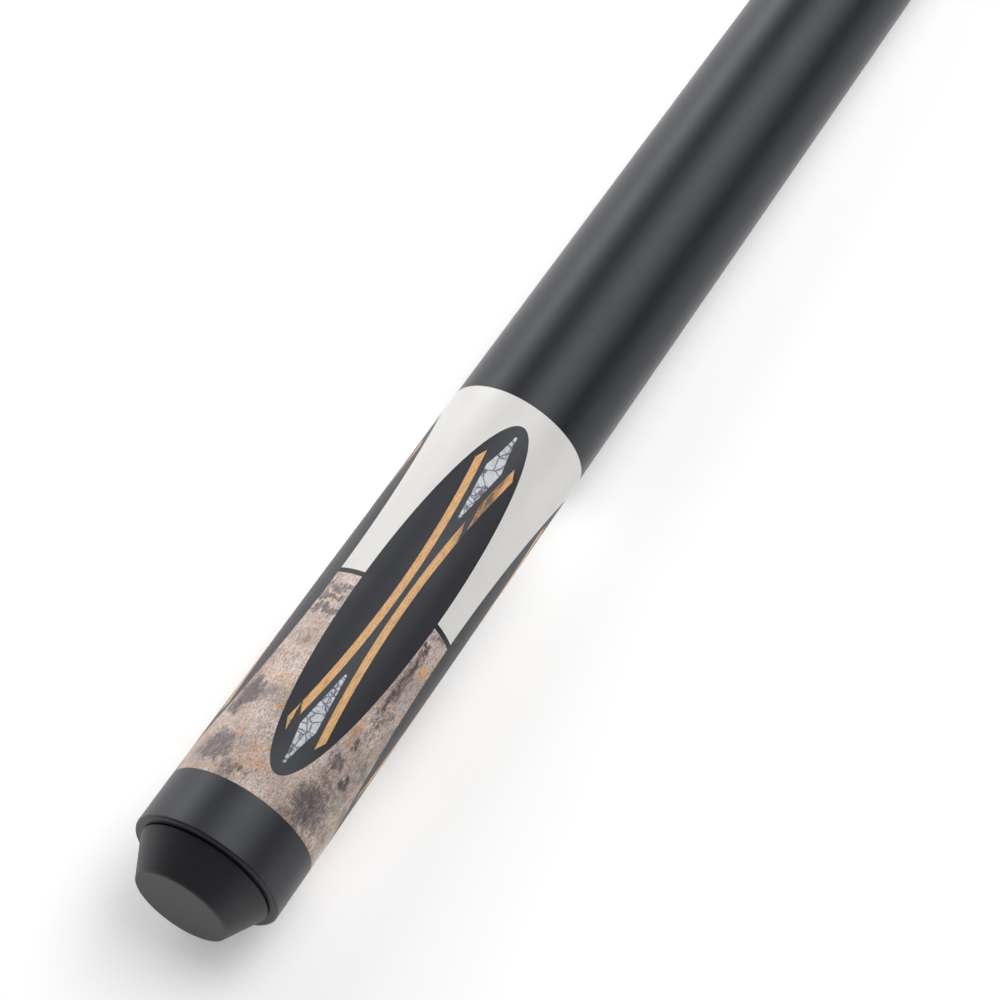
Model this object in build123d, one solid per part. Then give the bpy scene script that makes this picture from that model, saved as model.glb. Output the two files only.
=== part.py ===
from build123d import *
import math
import os

# A two-piece pool cue lying along +X. The origin is the centre of the bumper's end face,
# the butt half runs from there to the joint face, and the shaft half from there to the tip.
# Sizes are in millimetres, and every radius is measured from the cue's axis.

# Butt half: outer cone and the length of each piece along it, from the bumper forward
BUTT_END_RADIUS = 15.93
JOINT_RADIUS = 10.9
BUMPER_LENGTH = 8.45
CAP_LENGTH = 12.11
BURL_LENGTH = 50.33
SLEEVE_RING_WIDTH = 1.15
WHITE_LENGTH = 49.7
HANDLE_LENGTH = 308.3
FOREARM_LENGTH = 282.0
WIDE_RING = 2.4
NARROW_RING = 1.15
COLLAR_LENGTH = 17.5

# Bumper
BUMPER_FACE_RADIUS = 10.1
BUMPER_BASE_RADIUS = 14.2
BUMPER_EDGE_ROUND = 0.5
BUMPER_NECK_LENGTH = 0.4
BUMPER_NECK_STEP = 0.5
CAP_EDGE_ROUND = 0.65

# Threads, each drawn at its outside radius, and the running clearance round a turning piece
STUD_THREAD_RADIUS = 4.76
PIN_THREAD_RADIUS = 4.76
RUNNING_CLEARANCE = 0.06
THREAD_END_CHAMFER = 0.6

# Bumper stud and the brass insert it screws into
STUD_HEAD_RADIUS = 7.2
STUD_HEAD_THICKNESS = 2.2
STUD_HEAD_DEPTH = 3.2
STUD_REACH = 12.9
INSERT_WALL = 1.4
INSERT_FLANGE_STEP = 2.0
INSERT_FLANGE_THICKNESS = 1.5
INSERT_LENGTH = 64.0

# Weight bolt inside the insert, with a nylon lock ring in its groove
BOLT_START = 30.0
BOLT_LENGTH = 22.0
BOLT_SOCKET_FLATS = 5.0
BOLT_SOCKET_DEPTH = 5.0
LOCK_RING_OFFSET = 14.0
LOCK_RING_WIDTH = 3.0
LOCK_RING_WALL = 0.85

# Core and joint
CORE_RADIUS = 8.0
COLLAR_LIP = 3.0
PIN_SET_DEPTH = 38.0
PIN_REACH = 33.0
PIN_PILOT_LENGTH = 3.0
PIN_PILOT_RADIUS = 4.0

# Shaft half
SHAFT_HALF_LENGTH = 736.6
SHAFT_COLLAR_LIP = 2.0
SHAFT_INSERT_LENGTH = 35.0
SHAFT_INSERT_WALL = 1.2
SHAFT_TENON_WALL = 1.4
TIP_RADIUS = 6.375
STROKE_LENGTH = 333.0
FERRULE_LENGTH = 12.0
FERRULE_CAP = 2.0
FERRULE_TENON_RADIUS = 4.2
PAD_THICKNESS = 1.0
LEATHER_HEIGHT = 7.0
LEATHER_DOME_RADIUS = 10.6

# Inlays in the butt sleeves: ovals centred on the sleeve ring, each with strips and diamonds
OVAL_COUNT = 4
FIRST_OVAL_ANGLE = 18.2
OVAL_HALF_LENGTH = 45.1
OVAL_HALF_WIDTH = 8.55
OVAL_DEPTH = 1.5
STRIP_HALF_LENGTH = 36.5
STRIP_END_SLANT = 2.5
STRIP_MIDDLE_OFFSET = 1.22
STRIP_WIDTH = 1.45
STRIP_BEND_RADIUS = 237.0
ACCENT_DEPTH = 0.8
DIAMOND_INNER_TIP = 20.4
DIAMOND_WIDEST = 33.8
DIAMOND_OUTER_TIP = 42.35
DIAMOND_HALF_WIDTH = 1.75
DIAMOND_FLANK_PULL = 0.14
DIAMOND_BLUNT = 0.2

# Stations along the cue
CAP_START = BUMPER_LENGTH
BURL_START = CAP_START + CAP_LENGTH
SLEEVE_RING_START = BURL_START + BURL_LENGTH
WHITE_START = SLEEVE_RING_START + SLEEVE_RING_WIDTH
HANDLE_START = WHITE_START + WHITE_LENGTH
FOREARM_RINGS_START = HANDLE_START + HANDLE_LENGTH
FOREARM_START = FOREARM_RINGS_START + WIDE_RING + NARROW_RING
JOINT_RINGS_START = FOREARM_START + FOREARM_LENGTH
COLLAR_START = JOINT_RINGS_START + NARROW_RING + WIDE_RING
JOINT_FACE = COLLAR_START + COLLAR_LENGTH
SHAFT_COLLAR_END = JOINT_FACE + COLLAR_LENGTH
SHAFT_START = SHAFT_COLLAR_END + WIDE_RING + NARROW_RING
CUE_LENGTH = JOINT_FACE + SHAFT_HALF_LENGTH
PAD_START = CUE_LENGTH - LEATHER_HEIGHT - PAD_THICKNESS
FERRULE_START = PAD_START - FERRULE_LENGTH
STROKE_START = FERRULE_START - STROKE_LENGTH

# Sizes that follow from the ones above
TAPER = (BUTT_END_RADIUS - JOINT_RADIUS) / (JOINT_FACE - CAP_START)
STUD_RADIUS = STUD_THREAD_RADIUS - RUNNING_CLEARANCE
INSERT_RADIUS = STUD_THREAD_RADIUS + INSERT_WALL
INSERT_END = CAP_START + INSERT_LENGTH
SHAFT_BORE_RADIUS = PIN_THREAD_RADIUS + RUNNING_CLEARANCE
SHAFT_INSERT_RADIUS = SHAFT_BORE_RADIUS + SHAFT_INSERT_WALL
SHAFT_TENON_RADIUS = SHAFT_INSERT_RADIUS + SHAFT_TENON_WALL
SHAFT_TENON_START = JOINT_FACE + SHAFT_COLLAR_LIP
OVAL_CENTRE = SLEEVE_RING_START + SLEEVE_RING_WIDTH / 2


def outer_radius(x):
    """Outside radius of the butt, and of the shaft's collar and rings, at x."""
    return BUTT_END_RADIUS - TAPER * (x - CAP_START)


def turned(*outline):
    """Solid of revolution about the cue's axis from (x, radius) corners."""
    return revolve(make_face(Polyline(*outline, close=True)), axis=Axis.X)


def rod(start, end, radius):
    """Solid round bar."""
    return turned((start, 0), (end, 0), (end, radius), (start, radius))


def sleeve(start, end, bore):
    """Tapered tube whose outside is the cue's cone."""
    return turned(
        (start, bore),
        (end, bore),
        (end, outer_radius(end)),
        (start, outer_radius(start)),
    )


def under_skin(depth):
    """Everything in the inlaid sleeves that lies deeper than depth below the outside."""
    return turned(
        (BURL_START, 0),
        (HANDLE_START, 0),
        (HANDLE_START, outer_radius(HANDLE_START) - depth),
        (BURL_START, outer_radius(BURL_START) - depth),
    )


def punch(outline):
    """An outline drawn in (along, across) about the ovals' centre, pushed out through the skin."""
    return extrude(Pos(OVAL_CENTRE, 0, 0) * outline, amount=2 * BUTT_END_RADIUS)


def round_ends(solid, x, radius):
    """Round the outermost circular edge at x."""
    edge = solid.edges().filter_by(GeomType.CIRCLE).filter_by_position(Axis.X, x, x)
    return fillet(edge.sort_by(SortBy.RADIUS)[-1], radius)


def make_bumper():
    """Rubber bumper, moulded round the head of its stud."""
    neck_start = BUMPER_LENGTH - BUMPER_NECK_LENGTH
    neck_radius = BUMPER_BASE_RADIUS - BUMPER_NECK_STEP
    body = turned(
        (0, 0),
        (BUMPER_LENGTH, 0),
        (BUMPER_LENGTH, neck_radius),
        (neck_start, neck_radius),
        (neck_start, BUMPER_BASE_RADIUS),
        (0, BUMPER_FACE_RADIUS),
    )
    body = round_ends(body, 0, BUMPER_EDGE_ROUND)
    head_end = STUD_HEAD_DEPTH + STUD_HEAD_THICKNESS
    body -= rod(STUD_HEAD_DEPTH, head_end, STUD_HEAD_RADIUS + RUNNING_CLEARANCE)
    return body - rod(head_end, BUMPER_LENGTH, STUD_THREAD_RADIUS)


def make_bumper_stud():
    """Brass stud with a round head inside the rubber and a threaded shank."""
    end = BUMPER_LENGTH + STUD_REACH
    head = rod(STUD_HEAD_DEPTH, STUD_HEAD_DEPTH + STUD_HEAD_THICKNESS, STUD_HEAD_RADIUS)
    shank = turned(
        (STUD_HEAD_DEPTH, 0),
        (end, 0),
        (end, STUD_RADIUS - THREAD_END_CHAMFER),
        (end - THREAD_END_CHAMFER, STUD_RADIUS),
        (STUD_HEAD_DEPTH, STUD_RADIUS),
    )
    return head + shank


def make_butt_insert():
    """Flanged brass tube that takes the bumper stud and the weight bolt."""
    flange_end = CAP_START + INSERT_FLANGE_THICKNESS
    return turned(
        (CAP_START, STUD_THREAD_RADIUS),
        (INSERT_END, STUD_THREAD_RADIUS),
        (INSERT_END, INSERT_RADIUS),
        (flange_end, INSERT_RADIUS),
        (flange_end, INSERT_RADIUS + INSERT_FLANGE_STEP),
        (CAP_START, INSERT_RADIUS + INSERT_FLANGE_STEP),
    )


def make_weight_bolt():
    """Headless steel bolt with a hexagon socket facing the bumper and a ring groove."""
    end = BOLT_START + BOLT_LENGTH
    groove = BOLT_START + LOCK_RING_OFFSET
    groove_radius = STUD_RADIUS - LOCK_RING_WALL - RUNNING_CLEARANCE
    bolt = turned(
        (BOLT_START, 0),
        (end, 0),
        (end, STUD_RADIUS - THREAD_END_CHAMFER),
        (end - THREAD_END_CHAMFER, STUD_RADIUS),
        (groove + LOCK_RING_WIDTH, STUD_RADIUS),
        (groove + LOCK_RING_WIDTH, groove_radius),
        (groove, groove_radius),
        (groove, STUD_RADIUS),
        (BOLT_START + THREAD_END_CHAMFER, STUD_RADIUS),
        (BOLT_START, STUD_RADIUS - THREAD_END_CHAMFER),
    )
    socket = RegularPolygon(BOLT_SOCKET_FLATS / 2, 6, major_radius=False)
    seat = Plane(origin=(BOLT_START, 0, 0), z_dir=(1, 0, 0))
    return bolt - extrude(seat * socket, amount=BOLT_SOCKET_DEPTH)


def make_bolt_lock_ring():
    """Nylon ring that stops the weight bolt from working loose."""
    start = BOLT_START + LOCK_RING_OFFSET
    ring = rod(start, start + LOCK_RING_WIDTH, STUD_RADIUS)
    return ring - rod(start, start + LOCK_RING_WIDTH, STUD_RADIUS - LOCK_RING_WALL)


def make_butt_cap():
    """Cap with a rounded end, counterbored for the insert's flange."""
    cap = sleeve(CAP_START, BURL_START, INSERT_RADIUS)
    cap = round_ends(cap, CAP_START, CAP_EDGE_ROUND)
    flange_radius = INSERT_RADIUS + INSERT_FLANGE_STEP
    return cap - rod(CAP_START, CAP_START + INSERT_FLANGE_THICKNESS, flange_radius)


def make_core_dowel():
    """Straight maple core, bored at the butt for the insert and at the joint for the pin."""
    core_end = JOINT_FACE - COLLAR_LIP
    core = rod(BURL_START, core_end, CORE_RADIUS)
    core -= rod(BURL_START, INSERT_END, INSERT_RADIUS)
    return core - rod(JOINT_FACE - PIN_SET_DEPTH, core_end, PIN_THREAD_RADIUS)


def make_joint_collar():
    """Butt-side collar over the core's end, closed to a lip round the pin."""
    collar = sleeve(COLLAR_START, JOINT_FACE, PIN_THREAD_RADIUS)
    return collar - rod(COLLAR_START, JOINT_FACE - COLLAR_LIP, CORE_RADIUS)


def make_joint_pin():
    """Steel pin set in the core, with a plain pilot at its free end."""
    start = JOINT_FACE - PIN_SET_DEPTH
    end = JOINT_FACE + PIN_REACH
    pilot = end - PIN_PILOT_LENGTH
    return turned(
        (start, 0),
        (end, 0),
        (end, PIN_PILOT_RADIUS - THREAD_END_CHAMFER),
        (end - THREAD_END_CHAMFER, PIN_PILOT_RADIUS),
        (pilot, PIN_PILOT_RADIUS),
        (pilot - THREAD_END_CHAMFER, PIN_THREAD_RADIUS),
        (start, PIN_THREAD_RADIUS),
    )


def make_shaft_insert():
    """Brass threaded tube in the shaft's end."""
    end = SHAFT_TENON_START + SHAFT_INSERT_LENGTH
    tube = rod(SHAFT_TENON_START, end, SHAFT_INSERT_RADIUS)
    return tube - rod(SHAFT_TENON_START, end, SHAFT_BORE_RADIUS)


def make_shaft_collar():
    """Shaft-side collar over the shaft's tenon, closed to a lip that clears the pin."""
    collar = sleeve(JOINT_FACE, SHAFT_COLLAR_END, SHAFT_BORE_RADIUS)
    return collar - rod(SHAFT_TENON_START, SHAFT_COLLAR_END, SHAFT_TENON_RADIUS)


def make_shaft():
    """Maple shaft: tenon, long curved taper, straight stroke and a tenon for the ferrule."""
    tenon_end = FERRULE_START + FERRULE_LENGTH - FERRULE_CAP
    shoulder = (SHAFT_START, outer_radius(SHAFT_START))
    outline = Polyline(
        (STROKE_START, TIP_RADIUS),
        (FERRULE_START, TIP_RADIUS),
        (FERRULE_START, FERRULE_TENON_RADIUS),
        (tenon_end, FERRULE_TENON_RADIUS),
        (tenon_end, 0),
        (SHAFT_TENON_START, 0),
        (SHAFT_TENON_START, SHAFT_TENON_RADIUS),
        (SHAFT_START, SHAFT_TENON_RADIUS),
        shoulder,
    )
    taper = TangentArc((STROKE_START, TIP_RADIUS), shoulder, tangent=(-1, 0))
    shaft = revolve(make_face([*outline.edges(), taper]), axis=Axis.X)
    bore_end = SHAFT_TENON_START + SHAFT_INSERT_LENGTH
    return shaft - rod(SHAFT_TENON_START, bore_end, SHAFT_INSERT_RADIUS)


def make_ferrule():
    """Capped ferrule over the shaft's front tenon."""
    ferrule = rod(FERRULE_START, PAD_START, TIP_RADIUS)
    return ferrule - rod(FERRULE_START, PAD_START - FERRULE_CAP, FERRULE_TENON_RADIUS)


def make_leather_tip():
    """Leather tip with a crowned front."""
    start = PAD_START + PAD_THICKNESS
    crown = LEATHER_DOME_RADIUS - math.sqrt(LEATHER_DOME_RADIUS**2 - TIP_RADIUS**2)
    edge = (CUE_LENGTH - crown, TIP_RADIUS)
    sides = Polyline((CUE_LENGTH, 0), (start, 0), (start, TIP_RADIUS), edge)
    dome = TangentArc((CUE_LENGTH, 0), edge, tangent=(0, 1))
    return revolve(make_face([*sides.edges(), dome]), axis=Axis.X)


def strip_outline(side):
    """Narrow curved strip that bends towards the oval's middle line, on side +1 or -1."""

    def across(along, edge):
        middle = STRIP_MIDDLE_OFFSET + along**2 / (2 * STRIP_BEND_RADIUS)
        return side * (middle + edge * STRIP_WIDTH / 2)

    def edge_arc(half_length, edge):
        end = across(half_length, edge)
        return ThreePointArc((-half_length, end), (0, across(0, edge)), (half_length, end))

    inner = edge_arc(STRIP_HALF_LENGTH, -1)
    outer = edge_arc(STRIP_HALF_LENGTH - STRIP_END_SLANT, 1)
    ends = [Line(inner @ end, outer @ end) for end in (0, 1)]
    return make_face([inner, outer, *ends])


def diamond_outline(direction):
    """Long diamond on the oval's middle line, towards the handle (+1) or the cap (-1)."""
    middle_along = (DIAMOND_WIDEST + DIAMOND_OUTER_TIP) / 2
    middle_across = (DIAMOND_HALF_WIDTH + DIAMOND_BLUNT) / 2 - DIAMOND_FLANK_PULL
    edges = []
    for side in (1, -1):
        inner_tip = (direction * DIAMOND_INNER_TIP, side * DIAMOND_BLUNT)
        corner = (direction * DIAMOND_WIDEST, side * DIAMOND_HALF_WIDTH)
        hollow = (direction * middle_along, side * middle_across)
        outer_tip = (direction * DIAMOND_OUTER_TIP, side * DIAMOND_BLUNT)
        edges.append(Line(inner_tip, corner))
        edges.append(ThreePointArc(corner, hollow, outer_tip))
    for tip in (DIAMOND_INNER_TIP, DIAMOND_OUTER_TIP):
        blunt_end = direction * tip
        edges.append(Line((blunt_end, DIAMOND_BLUNT), (blunt_end, -DIAMOND_BLUNT)))
    return make_face(edges)


def make_inlaid_sleeves():
    """Burl sleeve, sleeve ring and white sleeve with their inlays, keyed by node name."""
    skin = sleeve(BURL_START, HANDLE_START, CORE_RADIUS)
    oval_punch = punch(Ellipse(OVAL_HALF_LENGTH, OVAL_HALF_WIDTH))
    accent_floor = under_skin(ACCENT_DEPTH)
    strips = [punch(strip_outline(side)) - accent_floor for side in (1, -1)]
    diamonds = [punch(diamond_outline(way)) - accent_floor for way in (1, -1)]
    pocket = oval_punch - under_skin(OVAL_DEPTH)
    oval = pocket & skin
    for accent in strips + diamonds:
        oval -= accent

    nodes = {
        "burl_sleeve": sleeve(BURL_START, SLEEVE_RING_START, CORE_RADIUS),
        "sleeve_ring": sleeve(SLEEVE_RING_START, WHITE_START, CORE_RADIUS),
        "white_sleeve": sleeve(WHITE_START, HANDLE_START, CORE_RADIUS),
    }
    for index in range(OVAL_COUNT):
        turn = Rot(FIRST_OVAL_ANGLE + index * 360 / OVAL_COUNT, 0, 0)
        for name in ("burl_sleeve", "sleeve_ring", "white_sleeve"):
            nodes[name] -= turn * pocket
        nodes[f"oval_inlay_{index + 1}"] = turn * oval
        for place in (0, 1):
            number = 2 * index + place + 1
            nodes[f"accent_strip_{number}"] = turn * (strips[place] & skin)
            nodes[f"stone_diamond_{number}"] = turn * (diamonds[place] & skin)
    return nodes


def make_plain_sleeves():
    """Handle, forearm and the thin rings beside them, keyed by node name."""
    narrow_at_forearm = FOREARM_RINGS_START + WIDE_RING
    wide_at_joint = JOINT_RINGS_START + NARROW_RING
    narrow_on_shaft = SHAFT_COLLAR_END + WIDE_RING
    spans = {
        "handle": (HANDLE_START, FOREARM_RINGS_START, CORE_RADIUS),
        "handle_ring_white": (FOREARM_RINGS_START, narrow_at_forearm, CORE_RADIUS),
        "handle_ring_black": (narrow_at_forearm, FOREARM_START, CORE_RADIUS),
        "forearm": (FOREARM_START, JOINT_RINGS_START, CORE_RADIUS),
        "joint_ring_black": (JOINT_RINGS_START, wide_at_joint, CORE_RADIUS),
        "joint_ring_white": (wide_at_joint, COLLAR_START, CORE_RADIUS),
        "shaft_ring_white": (SHAFT_COLLAR_END, narrow_on_shaft, SHAFT_TENON_RADIUS),
        "shaft_ring_black": (narrow_on_shaft, SHAFT_START, SHAFT_TENON_RADIUS),
    }
    return {name: sleeve(*span) for name, span in spans.items()}


def make_cue():
    """Every piece of the cue, keyed by node name."""
    return {
        "bumper": make_bumper(),
        "bumper_stud": make_bumper_stud(),
        "butt_insert": make_butt_insert(),
        "weight_bolt": make_weight_bolt(),
        "bolt_lock_ring": make_bolt_lock_ring(),
        "butt_cap": make_butt_cap(),
        "core_dowel": make_core_dowel(),
        **make_inlaid_sleeves(),
        **make_plain_sleeves(),
        "joint_collar": make_joint_collar(),
        "joint_pin": make_joint_pin(),
        "shaft_insert": make_shaft_insert(),
        "shaft_collar": make_shaft_collar(),
        "shaft": make_shaft(),
        "ferrule": make_ferrule(),
        "tip_pad": rod(PAD_START, PAD_START + PAD_THICKNESS, TIP_RADIUS),
        "leather_tip": make_leather_tip(),
    }


os.makedirs("parts", exist_ok=True)
for name, solid in make_cue().items():
    export_step(solid, f"parts/{name}.step")
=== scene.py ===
"""Looks, lights and camera of a two-piece pool cue, built round its packed construction model."""

from __future__ import annotations

import logging
import math
from collections.abc import Callable, Iterable, Sequence
from dataclasses import dataclass, replace
from enum import Enum

import bpy
from mathutils import Matrix, Vector


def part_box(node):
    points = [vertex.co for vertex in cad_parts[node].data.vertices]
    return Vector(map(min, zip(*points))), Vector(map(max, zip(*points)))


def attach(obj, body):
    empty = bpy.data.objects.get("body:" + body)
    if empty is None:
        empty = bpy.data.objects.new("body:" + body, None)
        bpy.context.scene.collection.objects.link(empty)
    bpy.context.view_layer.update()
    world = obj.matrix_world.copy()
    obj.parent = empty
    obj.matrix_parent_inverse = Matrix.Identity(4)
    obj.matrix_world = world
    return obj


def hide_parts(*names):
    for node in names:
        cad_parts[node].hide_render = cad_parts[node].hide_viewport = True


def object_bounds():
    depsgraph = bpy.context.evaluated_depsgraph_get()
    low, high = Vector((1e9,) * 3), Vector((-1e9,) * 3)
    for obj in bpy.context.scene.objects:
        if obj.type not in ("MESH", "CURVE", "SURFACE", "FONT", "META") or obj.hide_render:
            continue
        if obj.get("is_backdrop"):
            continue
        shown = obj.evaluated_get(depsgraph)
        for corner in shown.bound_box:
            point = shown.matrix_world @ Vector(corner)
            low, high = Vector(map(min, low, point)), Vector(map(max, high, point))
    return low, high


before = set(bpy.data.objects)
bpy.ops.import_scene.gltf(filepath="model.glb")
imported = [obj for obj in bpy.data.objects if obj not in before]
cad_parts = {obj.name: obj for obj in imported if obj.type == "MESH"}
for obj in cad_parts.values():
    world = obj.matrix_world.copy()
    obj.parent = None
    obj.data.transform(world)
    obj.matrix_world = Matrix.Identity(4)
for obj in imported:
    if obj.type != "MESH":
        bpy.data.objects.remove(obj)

LOG = logging.getLogger("cue")
MM = 0.001
Colour = tuple[float, float, float]


def srgb(red: int, green: int, blue: int) -> Colour:
    """Turn display values from 0 to 255 into linear light.

    Args:
        red: Red display value.
        green: Green display value.
        blue: Blue display value.

    Returns:
        The linear colour.
    """

    def linear(value: float) -> float:
        """One channel."""
        share = value / 255
        return share / 12.92 if share <= 0.04045 else ((share + 0.055) / 1.055) ** 2.4

    return linear(red), linear(green), linear(blue)


# --------------------------------------------------------------------------- shader expressions


class Value:
    """A single number in a shader graph that Python arithmetic works on."""

    def __init__(self, graph: Graph, socket: bpy.types.NodeSocket) -> None:
        """Wrap a socket of the graph."""
        self.graph = graph
        self.socket = socket

    def _math(self, operation: str, *operands: Operand) -> Value:
        """Add a Math node.

        Args:
            operation: The node's operation.
            operands: Its inputs, in order.

        Returns:
            The node's result.
        """
        node = self.graph.add(
            "ShaderNodeMath", {"operation": operation}, dict(enumerate(operands))
        )
        return Value(self.graph, node.outputs[0])

    def __add__(self, other: Operand) -> Value:
        """Sum."""
        return self._math("ADD", self, other)

    __radd__ = __add__

    def __sub__(self, other: Operand) -> Value:
        """Difference."""
        return self._math("SUBTRACT", self, other)

    def __rsub__(self, other: Operand) -> Value:
        """Difference from a number."""
        return self._math("SUBTRACT", other, self)

    def __mul__(self, other: Operand) -> Value:
        """Product."""
        return self._math("MULTIPLY", self, other)

    __rmul__ = __mul__

    def __truediv__(self, other: Operand) -> Value:
        """Quotient."""
        return self._math("DIVIDE", self, other)

    def sine(self) -> Value:
        """Sine of an angle in radians."""
        return self._math("SINE", self)

    def size(self) -> Value:
        """Distance from zero."""
        return self._math("ABSOLUTE", self)

    def most(self, other: Operand) -> Value:
        """The larger of two."""
        return self._math("MAXIMUM", self, other)

    def angle_to(self, other: Operand) -> Value:
        """Angle of the point (other, self)."""
        return self._math("ARCTAN2", self, other)

    def rise(self, start: float, end: float) -> Value:
        """Smooth step from 0 at start to 1 at end, either way round.

        Args:
            start: Where the step begins.
            end: Where it is complete.

        Returns:
            The step's height.
        """
        low, high = min(start, end), max(start, end)
        node = self.graph.add(
            "ShaderNodeMapRange",
            {"interpolation_type": "SMOOTHSTEP", "clamp": True},
            {"Value": self, "From Min": low, "From Max": high},
        )
        step = Value(self.graph, node.outputs[0])
        return step if start <= end else 1 - step


Operand = Value | float


class Graph:
    """The node tree of one material, with a short method for each kind of texture."""

    def __init__(self, name: str) -> None:
        """Make an empty material.

        Args:
            name: Name of the material.
        """
        self.material = bpy.data.materials.new(name)
        self.material.use_nodes = True
        self.tree = self.material.node_tree
        self.tree.nodes.clear()
        place = self.add("ShaderNodeTexCoord")
        scaled = self.add(
            "ShaderNodeVectorMath",
            {"operation": "SCALE"},
            {0: place.outputs["Object"], "Scale": 1 / MM},
        )
        self.point = scaled.outputs[0]
        parts = self.add("ShaderNodeSeparateXYZ", None, {0: self.point})
        self.along, self.across, self.up = (Value(self, s) for s in parts.outputs)

    def add(
        self,
        kind: str,
        settings: dict[str, object] | None = None,
        inputs: dict[int | str, object] | None = None,
    ) -> bpy.types.Node:
        """Add any node.

        Args:
            kind: The node's type.
            settings: Its own settings, set before its sockets.
            inputs: Numbers, colours or links, keyed by socket name or place.

        Returns:
            The new node.
        """
        node = self.tree.nodes.new(kind)
        for key, setting in (settings or {}).items():
            setattr(node, key, setting)
        for key, given in (inputs or {}).items():
            source = given.socket if isinstance(given, Value) else given
            if isinstance(source, bpy.types.NodeSocket):
                self.tree.links.new(source, node.inputs[key])
                continue
            socket = node.inputs[key]
            is_colour = isinstance(source, tuple) and len(socket.default_value) == 4
            socket.default_value = (*source, 1.0) if is_colour and len(source) == 3 else source
        return node

    def stretched(self, along: float, around: float, shift: float = 0.0) -> bpy.types.NodeSocket:
        """Coordinates for a texture, in repeats a millimetre.

        Args:
            along: Repeats a millimetre along the cue.
            around: Repeats a millimetre across it.
            shift: Moves the texture, so that two layers differ.

        Returns:
            The scaled vector.
        """
        node = self.add(
            "ShaderNodeVectorMath",
            {"operation": "MULTIPLY_ADD"},
            {0: self.point, 1: (along, around, around), 2: (shift, shift, shift)},
        )
        return node.outputs[0]

    def noise(
        self,
        along: float,
        around: float,
        detail: float = 2.0,
        roughness: float = 0.5,
        distortion: float = 0.0,
        shift: float = 0.0,
    ) -> Value:
        """Cloudy noise from 0 to 1.

        Args:
            along: Repeats a millimetre along the cue.
            around: Repeats a millimetre across it.
            detail: Octaves of detail.
            roughness: Strength of the finer octaves.
            distortion: How far the noise is pulled about.
            shift: Moves the texture.

        Returns:
            The noise.
        """
        node = self.add(
            "ShaderNodeTexNoise",
            None,
            {
                "Vector": self.stretched(along, around, shift),
                "Scale": 1.0,
                "Detail": detail,
                "Roughness": roughness,
                "Distortion": distortion,
            },
        )
        return Value(self, node.outputs[0])

    def warped(self, amount: float, size: float, shift: float = 0.0) -> bpy.types.NodeSocket:
        """The point, pushed about by noise.

        Args:
            amount: How far it is pushed, in millimetres.
            size: Size of the push's swirls, in millimetres.
            shift: Moves the swirls.

        Returns:
            The pushed point.
        """
        noise = self.add(
            "ShaderNodeTexNoise",
            None,
            {"Vector": self.stretched(1 / size, 1 / size, shift), "Scale": 1.0, "Detail": 2.0},
        )
        centred = self.add(
            "ShaderNodeVectorMath",
            {"operation": "SUBTRACT"},
            {0: noise.outputs["Color"], 1: (0.5, 0.5, 0.5)},
        )
        pushed = self.add(
            "ShaderNodeVectorMath",
            {"operation": "MULTIPLY_ADD"},
            {0: centred.outputs[0], 1: (2 * amount,) * 3, 2: self.point},
        )
        return pushed.outputs[0]

    def cells(
        self,
        feature: str,
        scale: float,
        vector: bpy.types.NodeSocket | None = None,
        output: str = "Distance",
        randomness: float = 1.0,
    ) -> Value:
        """Cell texture.

        Args:
            feature: Which distance it gives.
            scale: Cells a millimetre.
            vector: Coordinates in millimetres, the point's own if not given.
            output: The node's output that is used.
            randomness: How uneven the cells are.

        Returns:
            The chosen output.
        """
        node = self.add(
            "ShaderNodeTexVoronoi",
            {"feature": feature},
            {"Vector": vector or self.point, "Scale": scale, "Randomness": randomness},
        )
        return Value(self, node.outputs[output])

    def mix(self, factor: Operand, below: object, above: object) -> bpy.types.NodeSocket:
        """Blend two colours.

        Args:
            factor: 0 gives the colour below, and 1 the one above.
            below: First colour or socket.
            above: Second colour or socket.

        Returns:
            The blended colour.
        """
        node = self.add(
            "ShaderNodeMix",
            {"data_type": "RGBA", "clamp_factor": True},
            {0: factor, 6: below, 7: above},
        )
        return node.outputs[2]

    def tint(self, colour: object, amount: Value) -> bpy.types.NodeSocket:
        """Multiply a colour by a number.

        Args:
            colour: Colour or socket.
            amount: The number, 1 for no change.

        Returns:
            The scaled colour.
        """
        node = self.add(
            "ShaderNodeVectorMath", {"operation": "SCALE"}, {0: colour, "Scale": amount}
        )
        return node.outputs[0]

    def bump(
        self, height: Value, depth: float, normal: bpy.types.NodeSocket | None = None
    ) -> bpy.types.NodeSocket:
        """Raise or sink the surface by a height.

        Args:
            height: Height from 0 to 1.
            depth: What a height of 1 stands for, in millimetres.
            normal: A normal from an earlier bump.

        Returns:
            The bumped normal.
        """
        inputs: dict[int | str, object] = {"Strength": 1.0, "Distance": depth * MM}
        inputs["Height"] = height
        if normal is not None:
            inputs["Normal"] = normal
        return self.add("ShaderNodeBump", None, inputs).outputs[0]

    def surface(self, **sockets: object) -> bpy.types.Material:
        """Close the material with a Principled shader.

        Args:
            sockets: Socket values or links, with underscores for spaces.

        Returns:
            The finished material.
        """
        named = {key.replace("_", " "): given for key, given in sockets.items()}
        shader = self.add("ShaderNodeBsdfPrincipled", None, named)
        end = self.add("ShaderNodeOutputMaterial")
        self.tree.links.new(shader.outputs[0], end.inputs[0])
        return self.material


# --------------------------------------------------------------------------- finishes


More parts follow.
